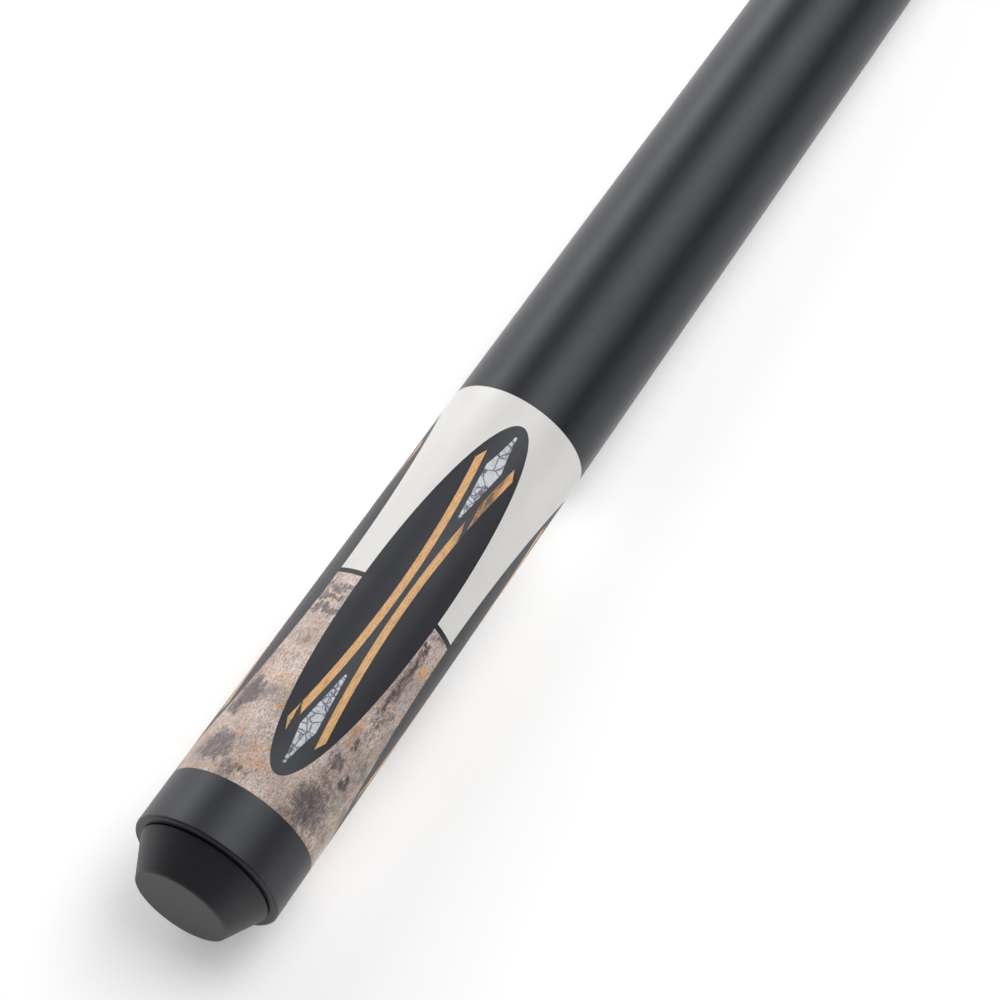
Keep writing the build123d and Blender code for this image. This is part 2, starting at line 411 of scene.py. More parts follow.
@dataclass(frozen=True)
class Lacquer:
    """Satin charcoal finish over stained wood or phenolic."""

    name: str = "charcoal_lacquer"
    colour: Colour = srgb(31, 32, 38)
    roughness: float = 0.35
    grain: float = 0.06
    speckle: float = 0.14
    gloss: float = 0.355
    sheen_colour: Colour = (0.93, 0.955, 1.0)

    def material(self) -> bpy.types.Material:
        """Fine speckle, faint lengthwise grain and the finish's own soft unevenness.

        Returns:
            The finished material.
        """
        g = Graph(self.name)
        streaks = g.noise(0.03, 1.3, detail=4)
        specks = g.noise(5.0, 5.0, detail=3, roughness=0.7)
        tone = 1 + (streaks - 0.5) * self.grain * 2 + (specks - 0.5) * self.speckle * 2
        clouds = g.noise(0.08, 0.12, detail=3, shift=7)
        rough = self.roughness + (clouds - 0.5) * 0.08 + (specks - 0.5) * 0.05
        peel = g.noise(1.6, 1.6, detail=2, shift=3)
        normal = g.bump(peel, 0.003, g.bump(specks, 0.0012))
        return g.surface(
            Base_Color=g.tint(self.colour, tone),
            Roughness=rough,
            Normal=normal,
            Specular_IOR_Level=self.gloss,
            Specular_Tint=self.sheen_colour,
        )


PHENOLIC = Lacquer("cap_phenolic", srgb(38, 38, 43), 0.40, 0.03, gloss=0.43)


@dataclass(frozen=True)
class Rubber:
    """Moulded black rubber with a fine dull skin; its end face carries painted light, a lighter
    grey painted on it, with scratches and specks.
    """

    name: str = "moulded_rubber"
    colour: Colour = srgb(32, 32, 37)
    # Grey of the faint dust all over, and of the painted light on the end face.
    dust_and_painted_light: Colour = srgb(62, 61, 61)
    dusty: Colour = srgb(84, 83, 82)
    roughness: float = 0.5
    face_depth: float = 0.35

    def material(self) -> bpy.types.Material:
        """Fine grain, faint dust, and painted light on the end face, which is painted a lighter
        grey, with specks and scratches.

        Returns:
            The finished material.
        """
        g = Graph(self.name)
        grain = g.noise(6.0, 6.0, detail=3, roughness=0.65)
        dust = g.noise(0.35, 0.35, detail=5, roughness=0.6, shift=4)
        face = g.along.rise(self.face_depth + 0.25, self.face_depth - 0.25)
        mottle = g.noise(0.7, 0.7, detail=5, roughness=0.65, shift=17)
        scratch = g.noise(0.5, 2.4, detail=4, distortion=1.5, shift=9).rise(0.60, 0.72)
        specks = g.noise(3.2, 3.2, detail=2, shift=6).rise(0.68, 0.76)
        colour = g.mix(dust.rise(0.5, 0.78) * 0.16, self.colour, self.dust_and_painted_light)
        # Painted light: the end face is painted a lighter, mottled grey, standing in for light
        # falling on it.
        colour = g.mix(face * (0.62 + (mottle - 0.5) * 0.9), colour, self.dust_and_painted_light)
        colour = g.mix(face * scratch * 0.25, colour, self.dusty)
        colour = g.mix(specks * (0.10 + face * 0.35), colour, self.dusty)
        rough = self.roughness + (grain - 0.5) * 0.12 + face * (mottle - 0.4) * 0.15
        normal = g.bump(mottle * face, 0.03, g.bump(grain, 0.008))
        return g.surface(Base_Color=colour, Roughness=rough, Normal=normal)


@dataclass(frozen=True)
class Resin:
    """Warm white cast resin under a clear coat."""

    name: str = "white_resin"
    colour: Colour = srgb(226, 224, 221)
    shade: Colour = srgb(222, 219, 216)
    roughness: float = 0.34

    def material(self) -> bpy.types.Material:
        """Soft pearly clouds and very fine polishing marks.

        Returns:
            The finished material.
        """
        g = Graph(self.name)
        clouds = g.noise(0.05, 0.09, detail=4, distortion=0.6)
        fine = g.noise(3.0, 3.0, detail=2, shift=5)
        colour = g.tint(g.mix(clouds.rise(0.3, 0.7), self.colour, self.shade), 0.985 + fine * 0.03)
        rough = self.roughness + (clouds - 0.5) * 0.08 + (fine - 0.5) * 0.05
        return g.surface(
            Base_Color=colour,
            Roughness=rough,
            Normal=g.bump(fine, 0.0015),
            Specular_IOR_Level=0.3,
            Coat_Weight=0.12,
            Coat_Roughness=0.3,
        )


class Patch(Enum):
    """What a single patch of the burl is, with its colour."""

    MOSS = srgb(102, 99, 85)
    SMOKE = srgb(94, 82, 84)
    AMBER = srgb(206, 148, 96)
    KNOT = srgb(46, 40, 43)


@dataclass(frozen=True)
class Stain:
    """One soft-edged patch of the burl.

    Attributes:
        kind: What it is.
        along: Its middle along the cue, in millimetres.
        turn: Angle of its middle from the first oval, in radians.
        length: Half its length along the cue, in millimetres.
        width: Half its width round the cue, in millimetres.
        strength: How fully it covers the wood.
    """

    kind: Patch
    along: float
    turn: float
    length: float
    width: float
    strength: float


FIRST_OVAL_STAINS = (
    Stain(Patch.MOSS, 44.0, 0.95, 34.0, 8.5, 0.45),
    Stain(Patch.SMOKE, 40.0, -0.95, 3.4, 3.4, 1.0),
    Stain(Patch.SMOKE, 36.4, -1.04, 2.0, 2.4, 0.9),
    Stain(Patch.SMOKE, 27.0, -0.85, 3.6, 4.0, 0.9),
    Stain(Patch.SMOKE, 23.3, -0.50, 1.5, 3.4, 0.7),
    Stain(Patch.SMOKE, 67.2, -0.80, 1.0, 6.0, 0.8),
    Stain(Patch.SMOKE, 64.6, -0.88, 1.1, 5.0, 0.9),
    Stain(Patch.SMOKE, 61.6, -0.75, 0.9, 6.0, 0.9),
    Stain(Patch.SMOKE, 57.5, 0.66, 10.5, 1.4, 0.75),
    Stain(Patch.SMOKE, 36.2, 0.55, 1.8, 1.7, 0.9),
    Stain(Patch.SMOKE, 26.0, 0.58, 5.4, 4.4, 0.95),
    Stain(Patch.SMOKE, 69.8, 0.72, 0.9, 2.6, 0.7),
    Stain(Patch.MOSS, 50.0, 0.80, 2.6, 2.4, 0.6),
    Stain(Patch.MOSS, 31.0, 0.85, 5.0, 4.6, 0.65),
    Stain(Patch.AMBER, 63.2, 0.83, 1.6, 1.4, 0.85),
    Stain(Patch.AMBER, 38.2, -0.44, 0.8, 0.7, 0.9),
    Stain(Patch.AMBER, 29.5, -0.36, 1.8, 1.2, 0.5),
    Stain(Patch.AMBER, 45.0, 0.50, 4.0, 0.9, 0.5),
    Stain(Patch.KNOT, 36.8, -0.98, 0.9, 1.2, 0.9),
    Stain(Patch.KNOT, 40.9, -0.93, 1.5, 1.6, 0.5),
    Stain(Patch.KNOT, 58.5, 0.655, 9.8, 0.55, 0.75),
    Stain(Patch.KNOT, 67.0, 0.66, 0.8, 1.0, 0.9),
    Stain(Patch.KNOT, 54.0, 0.64, 1.4, 0.9, 0.8),
    Stain(Patch.KNOT, 34.5, 0.81, 1.3, 1.9, 1.0),
    Stain(Patch.KNOT, 41.5, 0.62, 1.0, 0.9, 0.8),
    Stain(Patch.KNOT, 25.5, 0.62, 3.0, 1.2, 0.5),
)


@dataclass(frozen=True)
class Burl:
    """Stained grey-brown burl: short fibres, smoky patches, cross ripples, flecks and knots.

    Attributes:
        name: Name of the finish.
        first_turn: Angle of the first oval from the top of the cue.
        stains: Single patches round the first oval.
        shift: Moves every layer, so that two pieces differ.
    """

    name: str = "stained_burl"
    pale: Colour = srgb(206, 188, 179)
    body: Colour = srgb(176, 155, 144)
    tan: Colour = srgb(194, 162, 132)
    smoke: Colour = srgb(96, 85, 88)
    rust: Colour = srgb(202, 148, 100)
    moss: Colour = srgb(106, 101, 88)
    knot: Colour = srgb(50, 43, 46)
    radius: float = 15.5
    roughness: float = 0.47
    first_turn: float = 0.0
    stains: tuple[Stain, ...] = ()
    shift: float = 0.0

    def material(self) -> bpy.types.Material:
        """Layer the burl's colours from the broad clouds down to the fibres.

        Returns:
            The finished material.
        """
        g = Graph(self.name)
        turn = (g.across * -1.0).angle_to(g.up) - self.first_turn
        loose = turn.size().rise(1.2, 1.7) * 0.6 + 0.4 if self.stains else 1.0
        grit = g.noise(0.7, 1.5, detail=4, roughness=0.8, distortion=0.2, shift=81 + self.shift)
        colour = self.clouds(g, grit, loose)
        colour = self.knots(g, colour, loose)
        colour = self.placed(g, colour, grit, turn)
        fibres = g.noise(0.95, 2.6, detail=3, roughness=0.8, distortion=0.25, shift=2 + self.shift)
        dashes = g.noise(2.0, 4.3, detail=2, roughness=0.7, shift=15 + self.shift)
        colour = g.tint(colour, 1.02 + (fibres - 0.5) * 1.45 + (dashes - 0.5) * 2.1)
        pores = dashes.rise(0.43, 0.33) * fibres.rise(0.58, 0.42)
        colour = g.mix(pores * 0.6, colour, self.knot)
        rough = self.roughness + (fibres - 0.5) * 0.14
        return g.surface(
            Base_Color=colour,
            Roughness=rough,
            Normal=g.bump(fibres, 0.008, g.bump(dashes, 0.005)),
            Coat_Weight=0.15,
            Coat_Roughness=0.4,
        )

    def clouds(self, g: Graph, grit: Value, loose: Operand) -> bpy.types.NodeSocket:
        """Broad colours of the wood.

        Args:
            g: The material's graph.
            grit: Fine noise that frays the patches' edges.
            loose: Strength of the scattered dark patches.

        Returns:
            The cloudy colour.
        """
        s = self.shift
        fray = (grit - 0.5) * 0.8
        broad = g.noise(0.10, 0.13, detail=4, roughness=0.6, distortion=0.3, shift=s) + fray * 0.6
        colour = g.mix(broad.rise(0.36, 0.62), self.body, self.pale)
        warm = g.noise(0.12, 0.17, detail=3, roughness=0.6, distortion=0.2, shift=27 + s) + fray
        colour = g.mix(warm.rise(0.48, 0.68) * 0.6, colour, self.tan)
        mossy = g.noise(0.13, 0.18, detail=3, roughness=0.65, shift=33 + s) + fray
        colour = g.mix(mossy.rise(0.56, 0.70) * loose * 0.7, colour, self.moss)
        smoky = g.noise(0.15, 0.22, detail=3, roughness=0.62, shift=11 + s) + fray * 1.3
        colour = g.mix(smoky.rise(0.52, 0.70) * loose * 0.95, colour, self.smoke)
        ripple = g.noise(0.50, 0.07, detail=3, roughness=0.6, distortion=0.3, shift=41 + s) + fray
        where = g.noise(0.035, 0.06, detail=2, shift=52 + s).rise(0.50, 0.62)
        colour = g.mix(ripple.rise(0.50, 0.66) * where * loose * 0.8, colour, self.smoke)
        rusty = g.noise(0.26, 0.42, detail=3, roughness=0.6, shift=21 + s) + fray * 0.7
        return g.mix(rusty.rise(0.60, 0.74) * 0.8, colour, self.rust)

    def knots(
        self, g: Graph, colour: bpy.types.NodeSocket, loose: Operand
    ) -> bpy.types.NodeSocket:
        """Small dark knots in a smoky halo, and clusters of dark streaks.

        Args:
            g: The material's graph.
            colour: The colour under them.
            loose: Strength of the scattered dark patches.

        Returns:
            The colour with knots.
        """
        swirl = g.warped(0.9, 2.2, shift=self.shift)
        spots = g.cells("F1", 0.14, swirl)
        chosen = g.cells("F1", 0.14, swirl, output="Color").rise(0.42, 0.50) * loose
        colour = g.mix(spots.rise(0.50, 0.14) * chosen * 0.6, colour, self.smoke)
        colour = g.mix(spots.rise(0.22, 0.10) * chosen * 0.85, colour, self.knot)
        s = self.shift
        streaks = g.noise(0.20, 0.95, detail=4, roughness=0.75, distortion=0.3, shift=61 + s)
        where = g.noise(0.05, 0.09, detail=2, shift=72 + s).rise(0.48, 0.62)
        return g.mix(streaks.rise(0.54, 0.66) * where * loose * 0.85, colour, self.knot)

    def placed(
        self, g: Graph, colour: bpy.types.NodeSocket, grit: Value, turn: Value
    ) -> bpy.types.NodeSocket:
        """The single patches round the first oval.

        Args:
            g: The material's graph.
            colour: The colour under them.
            grit: Fine noise that frays their edges.
            turn: Angle from the first oval.

        Returns:
            The colour with the patches.
        """
        push = g.noise(0.35, 0.45, detail=3, roughness=0.65, shift=91)
        pull = g.noise(0.35, 0.45, detail=3, roughness=0.65, shift=97)
        along = g.along + (push - 0.5) * 7.0
        around = (turn + (pull - 0.5) * 0.30) * self.radius
        for kind in Patch:
            cover: Value | None = None
            for stain in (s for s in self.stains if s.kind is kind):
                lengthwise = (along - stain.along) / stain.length
                sideways = (around - stain.turn * self.radius) / stain.width
                reach = lengthwise * lengthwise + sideways * sideways
                spot = reach.rise(1.9, 0.1) * stain.strength
                cover = spot if cover is None else cover.most(spot)
            if cover is not None:
                ragged = (cover + (grit - 0.5) * 1.7).rise(0.12, 1.10) * cover.rise(0.02, 0.35)
                colour = g.mix(ragged, colour, kind.value)
        return colour


class TowardsEnd(Enum):
    """The end of a strip at which its crack lies."""

    HANDLE = 1
    CAP = -1


@dataclass(frozen=True)
class Crack:
    """A slanting dark break across a strip.

    Attributes:
        towards: The end of the strip at which it lies.
        near: Its near side on the strip's middle line, from the strip's centre.
        near_slant: How much further that side reaches a millimetre inward.
        far: Its far side on the middle line.
        far_slant: How much further the far side reaches a millimetre inward.
        figure: Strength of the dark figure beside it.
    """

    towards: TowardsEnd
    near: float
    near_slant: float
    far: float
    far_slant: float
    figure: float


@dataclass(frozen=True)
class StripWood:
    """Orange-tan hardwood of the narrow strips, cracked near one end.

    Attributes:
        name: Name of the finish.
        crack: The strip's crack.
        centre: Middle of the strip along the cue, in millimetres.
        turn: Angle of its oval from the top of the cue.
        side: Side of the oval's middle line.
        offset: Distance of the strip's middle from that line.
        bend: Radius of the strip's curve.
    """

    name: str
    crack: Crack
    centre: float
    turn: float
    side: int
    offset: float = 1.22
    bend: float = 237.0
    colour: Colour = srgb(231, 181, 121)
    deep: Colour = srgb(196, 138, 80)
    brown: Colour = srgb(122, 76, 50)
    dark: Colour = srgb(66, 48, 42)
    blackened: Colour = srgb(34, 34, 37)
    roughness: float = 0.42

    def material(self) -> bpy.types.Material:
        """Fine lengthwise grain with short pores, dark figure and the crack.

        Returns:
            The finished material.
        """
        g = Graph(self.name)
        along = g.along - self.centre
        sideways = g.across * math.cos(self.turn) + g.up * math.sin(self.turn)
        outward = sideways * self.side - self.offset - along * along / (2 * self.bend)
        place = along * self.crack.towards.value

        grain = g.noise(0.45, 4.2, detail=4, roughness=0.65)
        fleck = g.noise(2.0, 3.6, detail=2, roughness=0.65, shift=8)
        colour = g.mix(grain.rise(0.36, 0.68) * 0.8, self.colour, self.deep)
        colour = g.mix(fleck.rise(0.56, 0.72) * 0.35, colour, self.brown)
        colour = g.tint(colour, 0.44 + fleck * 1.18)

        wander = (g.noise(0.9, 1.6, detail=3, shift=4) - 0.5) * 2.2
        near = place + outward * self.crack.near_slant + wander - self.crack.near
        far = place + outward * self.crack.far_slant + wander - self.crack.far
        figured = near.rise(-4.0, 0.5) * far.rise(11.5, 7.0) * self.crack.figure
        figure = g.noise(0.30, 1.3, detail=5, roughness=0.65, distortion=0.8, shift=5)
        colour = g.mix(figured * 0.55, colour, self.brown)
        colour = g.mix(figured * figure.rise(0.47, 0.60) * 0.85, colour, self.dark)
        gap = near.rise(-0.35, 0.25) * far.rise(0.35, -0.25)
        colour = g.mix(gap, colour, self.blackened)
        rough = self.roughness + (grain - 0.5) * 0.12
        return g.surface(Base_Color=colour, Roughness=rough, Normal=g.bump(grain, 0.004))


@dataclass(frozen=True)
class VeinedStone:
    """Pale stone broken into cells by thin dark veins, finer towards the diamonds' tips."""

    centre: float
    widest: float = 33.8
    name: str = "veined_stone"
    pale: Colour = srgb(206, 209, 216)
    shade: Colour = srgb(178, 182, 192)
    halo: Colour = srgb(140, 146, 158)
    vein: Colour = srgb(70, 74, 86)
    roughness: float = 0.34

    def material(self) -> bpy.types.Material:
        """Veins between large cells, with smaller cells near the tips and in patches.

        Returns:
            The finished material.
        """
        g = Graph(self.name)
        pushed = g.warped(0.5, 1.8)
        large = g.cells("DISTANCE_TO_EDGE", 0.40, pushed)
        small = g.cells("DISTANCE_TO_EDGE", 0.78, g.warped(0.3, 1.1, shift=5))
        tips = ((g.along - self.centre).size() - self.widest).size().rise(3.4, 6.2)
        patchy = g.noise(0.33, 0.45, detail=2, shift=6).rise(0.53, 0.60)
        fine = tips.most(patchy)
        veins = large.rise(0.052, 0.018).most(small.rise(0.085, 0.03) * fine * 0.9)
        halos = large.rise(0.13, 0.03).most(small.rise(0.2, 0.06) * fine)
        clouds = g.noise(0.8, 0.8, detail=4, shift=2)
        colour = g.mix(clouds.rise(0.35, 0.72) * 0.8, self.pale, self.shade)
        colour = g.mix(halos * 0.45, colour, self.halo)
        colour = g.mix(veins * 0.92, colour, self.vein)
        return g.surface(
            Base_Color=colour,
            Roughness=self.roughness + veins * 0.2,
            Normal=g.bump(1 - veins, 0.003),
        )


@dataclass(frozen=True)
class Maple:
    """Pale sealed maple with growth lines and flecks."""

    name: str = "sealed_maple"
    colour: Colour = srgb(231, 205, 163)
    line: Colour = srgb(205, 168, 118)
    fleck: Colour = srgb(176, 132, 84)
    roughness: float = 0.33

    def material(self) -> bpy.types.Material:
        """Long growth lines, short flecks and a faint sanding texture.

        Returns:
            The finished material.
        """
        g = Graph(self.name)
        rings = g.noise(0.004, 0.42, detail=3, distortion=0.5)
        lines = ((rings * 60).sine() * 0.5 + 0.5).rise(0.55, 1.0)
        colour = g.mix(lines * 0.45, self.colour, self.line)
        flecks = g.noise(0.35, 3.0, detail=3, shift=12).rise(0.64, 0.74)
        colour = g.mix(flecks * 0.45, colour, self.fleck)
        fine = g.noise(0.4, 7.0, detail=3, shift=4)
        colour = g.tint(colour, 0.95 + fine * 0.1)
        rough = self.roughness + (fine - 0.5) * 0.1 + flecks * 0.05
        return g.surface(Base_Color=colour, Roughness=rough, Normal=g.bump(fine, 0.003))


@dataclass(frozen=True)
class Metal:
    """Turned metal with fine tool marks round it."""

    name: str
    colour: Colour
    worn: Colour
    roughness: float = 0.28

    def material(self) -> bpy.types.Material:
        """Rings left by turning, and a slightly uneven tarnish.

        Returns:
            The finished material.
        """
        g = Graph(self.name)
        marks = g.noise(14.0, 0.4, detail=3, roughness=0.6)
        tarnish = g.noise(0.5, 0.5, detail=4, shift=3)
        colour = g.mix(tarnish.rise(0.45, 0.75) * 0.6, self.colour, self.worn)
        rough = self.roughness + (marks - 0.5) * 0.2 + tarnish * 0.08
        return g.surface(
            Base_Color=colour, Roughness=rough, Metallic=1.0, Normal=g.bump(marks, 0.003)
        )


BRASS = Metal("turned_brass", srgb(205, 170, 105), srgb(168, 130, 74))


@dataclass(frozen=True)
class Plastic:
    """Plain moulded or turned plastic or fibre."""

    name: str
    colour: Colour
    shade: Colour
    roughness: float = 0.4

    def material(self) -> bpy.types.Material:
        """Faint clouds and turning marks.

        Returns:
            The finished material.
        """
        g = Graph(self.name)
        clouds = g.noise(0.4, 0.4, detail=4)
        marks = g.noise(9.0, 0.3, detail=3, shift=5)
        colour = g.mix(clouds.rise(0.35, 0.7), self.colour, self.shade)
        rough = self.roughness + (marks - 0.5) * 0.12 + (clouds - 0.5) * 0.06
        return g.surface(Base_Color=colour, Roughness=rough, Normal=g.bump(marks, 0.002))


@dataclass(frozen=True)
class LayeredLeather:
    """Pressed leather tip: thin layers at the side and a roughened crown."""

    crown_start: float
    name: str = "layered_leather"
    colour: Colour = srgb(150, 104, 70)
    dark: Colour = srgb(92, 60, 40)
    crown: Colour = srgb(128, 98, 76)
    layer: float = 0.8
    roughness: float = 0.6

    def material(self) -> bpy.types.Material:
        """Layers across the tip, pores, and a duller crown.

        Returns:
            The finished material.
        """
        g = Graph(self.name)
        wave = (g.along * (2 * math.pi / self.layer) + g.noise(0.6, 0.9, detail=2) * 1.5).sine()
        seams = wave.rise(0.82, 0.98)
        pores = g.noise(3.5, 3.5, detail=4, roughness=0.7, shift=3)
        colour = g.mix(pores.rise(0.35, 0.7) * 0.7, self.colour, self.dark)
        side = g.along.rise(self.crown_start + 0.3, self.crown_start - 0.1)
        colour = g.mix(seams * side * 0.8, colour, self.dark)
        colour = g.mix((1 - side) * 0.6, colour, self.crown)
        rough = self.roughness + (1 - side) * 0.25 + (pores - 0.5) * 0.15
        normal = g.bump(pores, 0.03, g.bump(1 - seams * side, 0.03))
        return g.surface(Base_Color=colour, Roughness=rough, Normal=normal)


# --------------------------------------------------------------------------- meshes


@dataclass(frozen=True)
class Thread:
    """A right-hand screw thread cut in a round bar.

    Attributes:
        start: Where the thread begins, along the cue.
        end: Where it ends.
        pitch: Advance in one turn.
        crest: Outside radius.
        depth: Depth of the cut.
        flat: Share of the pitch that is flat at the crest.
    """

    start: float
    end: float
    pitch: float
    crest: float
    depth: float
    flat: float = 0.25

    def radius(self, x: float, turn: float) -> float:
        """Radius of the threaded surface.

        Args:
            x: Place along the cue.
            turn: Share of a turn round it.

        Returns:
            The radius there, plain beyond the thread's ends.
        """
        if not self.start < x < self.end:
            return self.crest
        phase = (x / self.pitch - turn) % 1.0
        slope = (1 - 2 * self.flat) / 2
        valley = max(0.0, 1 - max(0.0, abs(phase - 0.5) - self.flat / 2) / slope)
        fade = min(1.0, (x - self.start) / self.pitch, (self.end - x) / self.pitch)
        return self.crest - self.depth * min(1.0, valley) * fade


def turned_mesh(
    name: str, stations: Sequence[float], radius: Callable[[float, float], float], segments: int
) -> bpy.types.Object:
    """Mesh of a bar along the cue whose radius may vary round it.

    Args:
        name: Name of the new piece.
        stations: Places along the cue, in metres, from one end to the other.
        radius: Radius in metres at a place and a share of a turn.
        segments: Number of steps round the bar.

    Returns:
        The new object, closed at both ends.
    """
    points: list[tuple[float, float, float]] = []
    for x in stations:
        for step in range(segments):
            turn = step / segments
            r = radius(x, turn)
            angle = 2 * math.pi * turn
            points.append((x, r * math.cos(angle), r * math.sin(angle)))
    faces: list[tuple[int, ...]] = []
    for row in range(len(stations) - 1):
        base = row * segments
        for step in range(segments):
            after = (step + 1) % segments
            upper = base + segments
            faces.append((base + step, base + after, upper + after, upper + step))
    last = (len(stations) - 1) * segments
    faces.append(tuple(range(segments - 1, -1, -1)))
    faces.append(tuple(last + step for step in range(segments)))
    mesh = bpy.data.meshes.new(name)
    mesh.from_pydata(points, [], faces)
    mesh.polygons.foreach_set("use_smooth", [True] * (len(faces) - 2) + [False, False])
    mesh.update()
    piece = bpy.data.objects.new(name, mesh)
    bpy.context.scene.collection.objects.link(piece)
    return piece


def spread(start: float, end: float, step: float) -> list[float]:
    """Evenly spaced places from start to end, both included, at most a step apart."""
    count = max(1, math.ceil((end - start) / step))
    return [start + (end - start) * i / count for i in range(count + 1)]


# --------------------------------------------------------------------------- sub-assemblies


def dress(names: Iterable[str], material: bpy.types.Material) -> None:
    """Give construction nodes a finish.

    Args:
        names: The nodes.
        material: The finish.
    """
    for name in names:
        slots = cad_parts[name].data.materials
        slots.clear()
        slots.append(material)
        LOG.info("%s: %s", name, material.name)


@dataclass
class ButtEnd:
    """Bumper, cap and the parts hidden behind them."""

    stud_pitch: float = 1.5 * MM
    stud_thread_depth: float = 0.75 * MM
    stud_head: float = 2.2 * MM
    stud_chamfer: float = 0.6 * MM
    past_stud_head: float = 8.0 * MM
    segments: int = 64

    def build(self) -> None:
        """Dress the nodes and cut the stud's thread."""
        brass = BRASS.material()
        steel = Metal("dark_steel", srgb(96, 96, 98), srgb(70, 68, 66), roughness=0.36).material()
        nylon = Plastic("blue_nylon", srgb(70, 105, 165), srgb(58, 90, 146)).material()
        dress(["bumper"], Rubber().material())
        dress(["butt_cap"], PHENOLIC.material())
        dress(["butt_insert"], brass)
        dress(["weight_bolt"], steel)
        dress(["bolt_lock_ring"], nylon)
        self.cut_stud(brass)

    def cut_stud(self, material: bpy.types.Material) -> None:
        """Replace the plain stud with a threaded one.

        Args:
            material: The stud's finish.
        """
        low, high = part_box("bumper_stud")
        head_radius = high.z
        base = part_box("bumper")[1].x
        shank = self.stud_radius()
        head_end = low.x + self.stud_head
        thread = Thread(base, high.x, self.stud_pitch, shank, self.stud_thread_depth)

        def radius(x: float, turn: float) -> float:
            """Head, shank, thread and end chamfer.

            Args:
                x: Place along the cue.
                turn: Share of a turn round it.

            Returns:
                The radius there.
            """
            if x < head_end:
                return head_radius
            return min(thread.radius(x, turn), shank - self.stud_chamfer + (high.x - x))

        stations = [low.x, head_end - 1e-6, *spread(head_end, base, MM)[:-1]]
        stations += spread(base, high.x, self.stud_pitch / 14)
        piece = turned_mesh("threaded_stud", stations, radius, self.segments)
        piece.data.materials.append(material)
        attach(piece, "bumper_stud")
        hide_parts("bumper_stud")
        LOG.info("threaded_stud: %d faces", len(piece.data.polygons))

    def stud_radius(self) -> float:
        """Thread radius of the stud.

        Returns:
            The radius past the head, read from the node's vertices.
        """
        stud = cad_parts["bumper_stud"].data
        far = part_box("bumper_stud")[0].x + self.past_stud_head
        return max(math.hypot(v.co.y, v.co.z) for v in stud.vertices if v.co.x > far)


@dataclass
class InlaidSleeve:
    """Burl and white sleeves with their ring and inlays."""

    ovals: int = 4
    cap_crack: Crack = Crack(TowardsEnd.CAP, 31.05, 1.93, 33.3, 4.4, 0.15)
    handle_crack: Crack = Crack(TowardsEnd.HANDLE, 18.75, 3.2, 22.2, 4.6, 1.0)
    wander: tuple[float, ...] = (0.0, 0.9, -1.1, 0.5)

    def build(self) -> None:
        """Dress the sleeves, ovals, strips and diamonds."""
        burl = Burl(first_turn=self.oval_turn(0), stains=FIRST_OVAL_STAINS)
        dress(["burl_sleeve"], burl.material())
        dress(["white_sleeve"], Resin().material())
        dress(["sleeve_ring"], Lacquer("ring_black", srgb(22, 22, 24), 0.38, 0.0).material())
        oval = Lacquer("oval_phenolic", srgb(37, 37, 42), 0.45, 0.03, gloss=0.43).material()
        dress([f"oval_inlay_{i + 1}" for i in range(self.ovals)], oval)
        low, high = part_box("sleeve_ring")
        centre = (low.x + high.x) / 2 / MM
        for i in range(self.ovals):
            self.dress_strips(i, centre)
        stones = [f"stone_diamond_{i + 1}" for i in range(2 * self.ovals)]
        dress(stones, VeinedStone(centre).material())

    def dress_strips(self, oval: int, centre: float) -> None:
        """Give the two strips of an oval their wood.

        Args:
            oval: Number of the oval, from 0.
            centre: Middle of the oval along the cue, in millimetres.
        """
        turn = self.oval_turn(oval)
        for side, crack in ((1, self.cap_crack), (-1, self.handle_crack)):
            number = 2 * oval + (1 if side == 1 else 2)
            step = self.wander[oval]
            moved = replace(crack, near=crack.near + step, far=crack.far + step)
            wood = StripWood(f"strip_wood_{number}", moved, centre, turn, side)
            dress([f"accent_strip_{number}"], wood.material())

    def oval_turn(self, oval: int) -> float:
        """Angle of an oval from the top of the cue, in radians, from its vertices."""
        points = [v.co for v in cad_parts[f"oval_inlay_{oval + 1}"].data.vertices]
        return math.atan2(-sum(p.y for p in points), sum(p.z for p in points))


@dataclass
class Handle:
    """Black handle, forearm, core and the rings between them."""

    def build(self) -> None:
        """Dress the handle, forearm, core and rings."""
        dress(["handle"], Lacquer("handle_lacquer").material())
        dress(["forearm"], Burl("forearm_burl", shift=90.0).material())
        dress(["core_dowel"], Maple("core_maple", roughness=0.6).material())
        white = Resin("ring_resin").material()
        black = Lacquer("thin_ring_black", srgb(24, 24, 26), 0.35, 0.0).material()
        dress(["handle_ring_white", "joint_ring_white", "shaft_ring_white"], white)
        dress(["handle_ring_black", "joint_ring_black", "shaft_ring_black"], black)


